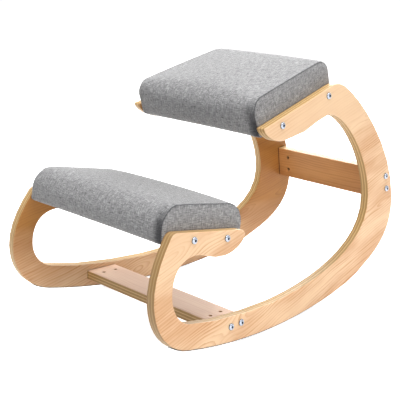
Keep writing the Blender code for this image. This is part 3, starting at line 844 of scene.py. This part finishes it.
class PadForm:
    """The sewn cover of one pad, measured from its CAD cover."""

    # Points round the pad, distance between its rows, rows beside a seam, and a side panel's rings
    AROUND = 132
    ROW_STEP = 0.0052
    SEAM_ROWS = (0.0, 0.0010, 0.0022, 0.0040, 0.0062, 0.0088, 0.0118, 0.0152, 0.0190, 0.0234)
    SIDE_RINGS = (0.02, 0.05, 0.09, 0.14, 0.20, 0.28, 0.38, 0.50, 0.66, 0.82, 0.94)

    # How far from the CAD cover's ends it is measured, and how wide a side panel's rounded edge is
    END_MARGIN = 0.0055
    PANEL_ROUND = 0.011

    # Heights over the pad's underside that lie on the board and that are drawn up at the edges
    BOARD_HEIGHT = 0.012
    BOW_HEIGHT = 0.035

    # How far from a seam the cloth is held, the seam's dark line of thread and painted shade reaches,
    # and its painted crease shade at the front
    SEAM_HELD = 0.0030
    SEAM_SHADE = 0.0012
    CREASE_SHADE = {"seat": 0.016, "knee": 0.014}

    def __init__(self, pad):
        self.pad = pad
        self.backward, self.upward = [axis.yz for axis in tilted_axes(PAD_SLOPES[pad])]
        self.hull = bmesh.new()
        self.hull.from_mesh(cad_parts[pad + "_cover"].data)
        found = bmesh.ops.convex_hull(self.hull, input=self.hull.verts)
        spare = {*found["geom_interior"], *found["geom_unused"]}
        spare = [item for item in spare if isinstance(item, bmesh.types.BMVert)]
        bmesh.ops.delete(self.hull, geom=spare, context="VERTS")

    def outline(self, share):
        """The pad's outline in YZ where X is a share of the half width, from the middle of its bottom."""
        level = inner_half(0, 0)
        normal = Vector((1, share * OUTWARD.y / OUTWARD.x, share * OUTWARD.z / OUTWARD.x))
        cut = self.hull.copy()
        everything = cut.verts[:] + cut.edges[:] + cut.faces[:]
        found = bmesh.ops.bisect_plane(cut, geom=everything, plane_co=(share * level, 0, 0), plane_no=normal)
        points = [Vector(item.co[1:]) for item in found["geom_cut"] if isinstance(item, bmesh.types.BMVert)]
        cut.free()
        middle = sum(points, Vector((0, 0))) / len(points)
        points.sort(key=lambda point: math.atan2(
            -(point - middle).dot(self.backward), -(point - middle).dot(self.upward)
        ) % (2 * math.pi))
        low = min((point - middle).dot(self.upward) for point in points)
        start = middle + low * self.upward
        loop = [start, *points, start]
        lengths = [0.0]
        for here, there in zip(loop, loop[1:]):
            lengths.append(lengths[-1] + (there - here).length)
        places = np.linspace(0.0, lengths[-1], self.AROUND, endpoint=False)
        y = np.interp(places, lengths, [point.x for point in loop])
        z = np.interp(places, lengths, [point.y for point in loop])
        return np.stack([y, z], axis=1), lengths[-1]

    @staticmethod
    def inward(outline):
        """Unit directions into the pad round an outline."""
        along = np.roll(outline, -1, axis=0) - np.roll(outline, 1, axis=0)
        along /= np.linalg.norm(along, axis=1)[:, None]
        turned = np.stack([-along[:, 1], along[:, 0]], axis=1)
        towards = outline.mean(axis=0) - outline
        return turned * np.sign((turned * towards).sum(axis=1))[:, None]

    def rows(self):
        """Each row's distance from the left seam as a share of the cloth's width, and that width."""
        width = 2 * inner_half(*np.mean([vertex.co[1:] for vertex in self.hull.verts], axis=0))
        ends = np.array(self.SEAM_ROWS) / width
        count = round((1 - 2 * ends[-1]) * width / self.ROW_STEP)
        middle = np.linspace(ends[-1], 1 - ends[-1], count + 1)
        return np.concatenate([ends[:-1], middle, (1 - ends[:-1])[::-1]]), width

    def wrapped_row(self, share, distance, width, looks):
        """One row of the wrapped cloth: its outline, rise off the board, painted crease shade and girth."""
        place = 2 * share - 1
        most = 1 - self.END_MARGIN / (width / 2)
        outline, girth = self.outline(max(-most, min(most, place)))
        inward = self.inward(outline)
        backward, upward = np.array(self.backward), np.array(self.upward)
        rise = (outline - outline.mean(axis=0)) @ upward
        rise -= rise.min()
        on_board = np.clip(rise / self.BOARD_HEIGHT, 0.0, 1.0)
        low = 1 - np.clip(rise / rise.max(), 0.0, 1.0)
        front = np.clip(inward @ backward, 0.0, 1.0)
        back = np.clip(-(inward @ backward), 0.0, 1.0)
        corner = 2 * front * np.clip(-(inward @ upward), 0.0, 1.0)

        # Painted crease shade beside the seams: darkest low on the front, and weaker at the left end
        crease_shade = np.clip(front * (0.45 + 0.9 * low), 0.0, 1.0) * (1.0 if place > 0 else 0.35)

        # The cloth starts a little small, turns in beside the seams, most at the front and its upper
        # corner, and its lower edges are drawn up
        pull = (0.32 + 0.40 * front + 0.05 * back + 0.35 * corner) * looks.seam_tuck
        turn_in = max(0.0, 1 - distance / looks.seam_reach) ** 2 * pull
        start_in = looks.shrink * min(1.0, distance / looks.seam_reach)
        outline = outline + inward * ((turn_in + start_in) * (0.25 + 0.75 * on_board))[:, None]
        low_edge = np.maximum(front, back) * (1 - np.clip(rise / self.BOW_HEIGHT, 0.0, 1.0))
        outline = outline + upward * (looks.edge_bow * (1 - place**2) * low_edge)[:, None]
        return outline, on_board, crease_shade, girth

    @staticmethod
    def band(bm, ring, following):
        """Makes the faces from one closed ring of points to the next."""
        for index in range(len(ring)):
            after = (index + 1) % len(ring)
            yield index, bm.faces.new((ring[index], ring[after], following[after], following[index]))

    def skin(self, looks):
        """Builds the cover's mesh with its flat pattern, painted seam and crease shade, and points held in
        filling.
        """
        shares, width = self.rows()
        bm = bmesh.new()
        pattern = bm.loops.layers.uv.new("pattern")
        seam = bm.verts.layers.float.new("seam")
        held = set()
        grid = []
        for share in shares:
            distance = min(share, 1 - share) * width
            outline, on_board, crease_shade, girth = self.wrapped_row(share, distance, width, looks)
            row = []
            for (y, z), above, crease_shade_level in zip(outline, on_board, crease_shade):
                half = inner_half(y, z) - looks.seam_inset
                vertex = bm.verts.new(((2 * share - 1) * half, y, z))
                # The seam's dark line and the crease shade are painted shade, kept in the mesh for the linen
                shade = crease_shade_level * math.exp(-((distance / self.CREASE_SHADE[self.pad]) ** 3))
                vertex[seam] = max(math.exp(-distance / self.SEAM_SHADE), shade)
                if distance < self.SEAM_HELD or above < 0.999:
                    held.add(vertex)
                row.append(vertex)
            grid.append((row, share * width, girth))
        for (row, across, girth), (following, next_across, _) in zip(grid, grid[1:]):
            for index, face in self.band(bm, row, following):
                low, high = girth * index / self.AROUND, girth * (index + 1) / self.AROUND
                places = ((across, low), (across, high), (next_across, high), (next_across, low))
                for loop, spot in zip(face.loops, places):
                    loop[pattern].uv = spot
        for row, side in ((grid[0][0], -1), (grid[-1][0], 1)):
            self.side_panel(bm, row, side, pattern, seam, held, looks)
        bmesh.ops.recalc_face_normals(bm, faces=bm.faces)
        kept = [index for index, vertex in enumerate(bm.verts) if vertex in held]
        mesh = bpy.data.meshes.new(self.pad + "_pad")
        bm.to_mesh(mesh)
        bm.free()
        piece = bpy.data.objects.new(self.pad + "_pad", mesh)
        bpy.context.collection.objects.link(piece)
        piece.vertex_groups.new(name="held").add(kept, 1.0, "REPLACE")
        return piece

    def side_panel(self, bm, row, side, pattern, seam, held, looks):
        """Fills one end with a sewn panel that stands out a little from its seam."""
        backward, upward = np.array(self.backward), np.array(self.upward)
        edge = np.array([vertex.co[1:] for vertex in row])
        middle = edge.mean(axis=0)
        lengthwise = (edge - middle) @ backward
        upright = (edge - middle) @ upward
        half_height = (upright.max() - upright.min()) / 2
        centre_up = (upright.max() + upright.min()) / 2
        spine = np.clip(lengthwise, lengthwise.min() + half_height, lengthwise.max() - half_height)
        ring = list(row)
        for share in self.SIDE_RINGS:
            following = []
            for start_run, start_rise, end_run in zip(lengthwise, upright, spine):
                run = start_run + (end_run - start_run) * share
                rise = start_rise + (centre_up - start_rise) * share
                y, z = middle + run * backward + rise * upward
                inset = math.hypot(run - start_run, rise - start_rise)
                back_off = looks.seam_inset * max(0.0, 1 - inset / self.PANEL_ROUND) ** 2
                made = bm.verts.new((side * (inner_half(y, z) - back_off), y, z))
                # The seam's dark line on the panel's side is painted shade
                made[seam] = math.exp(-inset / self.SEAM_SHADE)
                held.add(made)
                following.append(made)
            for _, face in self.band(bm, ring, following):
                self.flat_pattern(face, pattern)
            ring = following
        cap = bmesh.ops.triangle_fill(bm, use_beauty=True, edges=[
            bm.edges.get((ring[index - 1], ring[index])) for index in range(len(ring))
        ])
        for face in cap["geom"]:
            if isinstance(face, bmesh.types.BMFace):
                self.flat_pattern(face, pattern)

    def flat_pattern(self, face, pattern):
        """Lays a side panel's face on the cloth, square to its length."""
        for loop in face.loops:
            spot = Vector(loop.vert.co[1:])
            loop[pattern].uv = (spot.dot(self.backward), spot.dot(self.upward))


FILL_STEPS = 20
FILL_SETTINGS = {
    "quality": 6,
    "mass": 0.25,
    "tension_stiffness": 18.0,
    "compression_stiffness": 18.0,
    "shear_stiffness": 8.0,
    "bending_stiffness": 0.6,
    "use_pressure": True,
    "uniform_pressure_force": 4.0,
    "vertex_group_mass": "held",
}


def fill_pad(piece, looks):
    """Fills a cover with air while its seams, ends and board side are held, and keeps the swell small."""
    mesh = piece.data
    start = np.empty(len(mesh.vertices) * 3)
    mesh.vertices.foreach_get("co", start)
    start = start.reshape(-1, 3)
    cloth = piece.modifiers.new("fill", "CLOTH")
    for name, value in FILL_SETTINGS.items():
        setattr(cloth.settings, name, value)
    cloth.settings.effector_weights.gravity = 0.0
    cloth.point_cache.frame_start = 1
    cloth.point_cache.frame_end = FILL_STEPS
    scene = bpy.context.scene
    for step in range(1, FILL_STEPS + 1):
        scene.frame_set(step)
    filled = piece.evaluated_get(bpy.context.evaluated_depsgraph_get()).to_mesh()
    moved = np.empty(len(filled.vertices) * 3)
    filled.vertices.foreach_get("co", moved)
    shift = moved.reshape(-1, 3) - start
    reach = np.linalg.norm(shift, axis=1)
    scale = np.where(reach > looks.most_swell, looks.most_swell / np.maximum(reach, 1e-9), 1.0)
    piece.to_mesh_clear()
    piece.modifiers.remove(cloth)
    scene.frame_set(1)
    mesh.vertices.foreach_set("co", (start + shift * scale[:, None]).ravel())
    mesh.update()


def gather_seams(piece, looks):
    """Raises small gathers in the cloth beside the seams, a coarse set and a fine one."""
    coarse, fine, fine_part = 95.0, 210.0, 0.5
    mesh = piece.data
    shade = mesh.attributes["seam"].data
    normals = [vertex.normal.copy() for vertex in mesh.vertices]
    for vertex, normal in zip(mesh.vertices, normals):
        near = shade[vertex.index].value ** 0.16
        if near < 0.02:
            continue
        wave = noise.noise(vertex.co * coarse) + fine_part * noise.noise(vertex.co * fine)
        vertex.co += normal * looks.pucker * near * wave
    mesh.update()


class CHAIR_OT_pads(bpy.types.Operator):
    """Sews, fills and finishes the seat pad and the knee pad"""

    bl_idname = "chair.pads"
    bl_label = "Pads"

    def execute(self, context):
        looks = context.scene.chair_cloth
        for pad in PAD_SLOPES:
            piece = PadForm(pad).skin(looks)
            fill_pad(piece, looks)
            gather_seams(piece, looks)
            piece.vertex_groups.clear()
            finer = piece.modifiers.new("finer", "SUBSURF")
            finer.levels = 1
            finer.render_levels = 1
            apply_modifiers(piece)
            bpy.ops.object.shade_smooth()
            wear(piece, linen(pad + "_linen", looks))
            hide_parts(pad + "_cover", pad + "_foam")
        return {"FINISHED"}


class CHAIR_OT_dust_covers(bpy.types.Operator):
    """Stretches a black cloth under each pad"""

    bl_idname = "chair.dust_covers"
    bl_label = "Dust Covers"

    COLUMNS = 28
    ROWS = 20

    # How far the sheet lies under the CAD cover's top, how far its middle sags, and its thickness
    UNDER = 0.0001
    SAG = 0.0005
    THICKNESS = 0.0005

    def execute(self, context):
        for pad, slope in PAD_SLOPES.items():
            node = pad + "_dust_cover"
            backward, upward = tilted_axes(slope)
            points = points_of(node)
            top = max(upward.dot(point) for point in points) - self.UNDER
            front, back = [pick(backward.dot(point) for point in points) for pick in (min, max)]
            halves = [
                max(abs(point.x) for point in points if abs(backward.dot(point) - end) < 0.001)
                for end in (front, back)
            ]
            bm = bmesh.new()
            grid = []
            for row in range(self.ROWS + 1):
                share = row / self.ROWS
                half = halves[0] + (halves[1] - halves[0]) * share
                line = []
                for column in range(self.COLUMNS + 1):
                    across = 2 * column / self.COLUMNS - 1
                    sag = self.SAG * (1 - across**2) * (1 - (2 * share - 1) ** 2)
                    spot = Vector((across * half, 0, 0)) + backward * (front + (back - front) * share)
                    line.append(bm.verts.new(spot + upward * (top - sag)))
                grid.append(line)
            for line, following in zip(grid, grid[1:]):
                for column in range(self.COLUMNS):
                    bm.faces.new((line[column], following[column], following[column + 1], line[column + 1]))
            bmesh.ops.recalc_face_normals(bm, faces=bm.faces)
            mesh = bpy.data.meshes.new(pad + "_dust_sheet")
            bm.to_mesh(mesh)
            bm.free()
            piece = bpy.data.objects.new(pad + "_dust_sheet", mesh)
            context.collection.objects.link(piece)
            thick = piece.modifiers.new("thickness", "SOLIDIFY")
            thick.thickness = self.THICKNESS
            thick.offset = -1.0 if mesh.polygons[0].normal.dot(upward) > 0 else 1.0
            apply_modifiers(piece)
            bpy.ops.object.shade_smooth_by_angle(angle=math.radians(30))
            wear(piece, dust_cloth(pad + "_dust_cloth", context.scene.chair_cloth))
            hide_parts(node)
        return {"FINISHED"}


class CHAIR_OT_stage(bpy.types.Operator):
    """Sets the floor, the soft light and the camera"""

    bl_idname = "chair.stage"
    bl_label = "Stage"

    # Each lamp's place, what it is aimed at, and its size
    LAMPS = {
        "key": ((2.3, -1.8, 0.9), (0, 0, 0.2), 1.6),
        "side": ((3.0, -0.6, 0.6), (0, 0, 0.2), 1.6),
        "top": ((0.2, -0.2, 3.1), (0, 0, 0.3), 2.4),
        "back": ((-1.1, 2.5, 1.6), (0, 0, 0.1), 2.0),
    }
    CAMERA_PLACE = (1.4014, -1.3448, 0.7462)
    AZIMUTH = math.radians(47.41)
    ELEVATION = math.radians(15.53)

    def shown_ray(self, tree):
        """1 for rays that show the backdrop itself, also in metal and glass."""
        rays = tree.nodes.new("ShaderNodeLightPath")
        total = rays.outputs["Is Camera Ray"]
        for name in ("Is Glossy Ray", "Is Transmission Ray"):
            both = tree.nodes.new("ShaderNodeMath")
            both.operation = "MAXIMUM"
            tree.links.new(total, both.inputs[0])
            tree.links.new(rays.outputs[name], both.inputs[1])
            total = both.outputs[0]
        return total

    def world(self, context, looks):
        """A white backdrop with an even light."""
        world = bpy.data.worlds.new("studio")
        world.use_nodes = True
        tree = world.node_tree
        strength = tree.nodes.new("ShaderNodeMapRange")
        strength.inputs["To Min"].default_value = looks.ambient
        strength.inputs["To Max"].default_value = 1.0
        tree.links.new(self.shown_ray(tree), strength.inputs["Value"])
        background = tree.nodes["Background"]
        background.inputs["Color"].default_value = (1, 1, 1, 1)
        tree.links.new(strength.outputs["Result"], background.inputs["Strength"])
        context.scene.world = world

    def floor(self, looks):
        """A pale floor that keeps the chair's shadow."""
        deselect_all()
        bpy.ops.mesh.primitive_plane_add(size=40.0)
        floor = bpy.context.object
        floor.name = "studio_floor"
        finish = Finish("studio_floor")
        finish.wear(Base_Color=looks.floor, Roughness=0.9, Specular_IOR_Level=0.0)
        finish.feed(finish.shader.inputs["Emission Color"], (1.0, 1.0, 1.0))
        lift = finish.times(self.shown_ray(finish.tree), looks.floor_lift)
        finish.feed(finish.shader.inputs["Emission Strength"], lift)
        floor.data.materials.append(finish.material)

    def lamp(self, name, place, aim, size, power):
        """A square soft light."""
        deselect_all()
        turn = (Vector(aim) - Vector(place)).to_track_quat("-Z", "Y").to_euler()
        bpy.ops.object.light_add(type="AREA", location=place, rotation=turn)
        light = bpy.context.object
        light.name = name
        light.data.size = size
        light.data.energy = power

    def camera(self, context, looks):
        """The photograph's view."""
        deselect_all()
        bpy.ops.object.camera_add(location=self.CAMERA_PLACE)
        camera = bpy.context.object
        camera.name = "front_view"
        level = math.cos(self.ELEVATION)
        back = Vector((
            math.sin(self.AZIMUTH) * level, -math.cos(self.AZIMUTH) * level, math.sin(self.ELEVATION)
        ))
        camera.rotation_euler = back.to_track_quat("Z", "Y").to_euler()
        camera.data.lens = looks.lens
        camera.data.sensor_width = 36.0
        context.scene.camera = camera

    def execute(self, context):
        looks = context.scene.chair_stage
        self.world(context, looks)
        self.floor(looks)
        for name, (place, aim, size) in self.LAMPS.items():
            self.lamp(name + "_light", place, aim, size, getattr(looks, name))
        self.camera(context, looks)
        context.scene.view_settings.view_transform = "Standard"
        return {"FINISHED"}


OPERATORS = (
    CHAIR_OT_side_frames,
    CHAIR_OT_stretchers,
    CHAIR_OT_runner_strips,
    CHAIR_OT_bolts,
    CHAIR_OT_barrel_nuts,
    CHAIR_OT_pads,
    CHAIR_OT_dust_covers,
    CHAIR_OT_stage,
)
SETTINGS = {
    "chair_wood": ChairWood,
    "chair_cloth": ChairCloth,
    "chair_hardware": ChairHardware,
    "chair_stage": ChairStage,
}


class CHAIR_PT_sidebar(bpy.types.Panel):
    """Lists the chair's settings and the steps that make it"""

    bl_idname = "CHAIR_PT_sidebar"
    bl_label = "Kneeling Chair"
    bl_space_type = "VIEW_3D"
    bl_region_type = "UI"
    bl_category = "Chair"

    def draw(self, context):
        for name, group in SETTINGS.items():
            column = self.layout.box().column()
            settings = getattr(context.scene, name)
            for setting in group.__annotations__:
                column.prop(settings, setting)
        column = self.layout.column()
        for operator in OPERATORS:
            column.operator(operator.bl_idname)


def register():
    """Makes the settings, the steps and the panel known to Blender."""
    for name, group in SETTINGS.items():
        bpy.utils.register_class(group)
        setattr(bpy.types.Scene, name, PointerProperty(type=group))
    for operator in OPERATORS:
        bpy.utils.register_class(operator)
    bpy.utils.register_class(CHAIR_PT_sidebar)


def unregister():
    """Takes back what register made known."""
    bpy.utils.unregister_class(CHAIR_PT_sidebar)
    for operator in reversed(OPERATORS):
        bpy.utils.unregister_class(operator)
    for name, group in reversed(SETTINGS.items()):
        delattr(bpy.types.Scene, name)
        bpy.utils.unregister_class(group)


def main():
    """Makes every piece in order."""
    register()
    bpy.ops.chair.side_frames()
    bpy.ops.chair.stretchers()
    bpy.ops.chair.runner_strips()
    bpy.ops.chair.bolts()
    bpy.ops.chair.barrel_nuts()
    bpy.ops.chair.pads()
    bpy.ops.chair.dust_covers()
    bpy.ops.chair.stage()


if __name__ == "__main__":
    main()
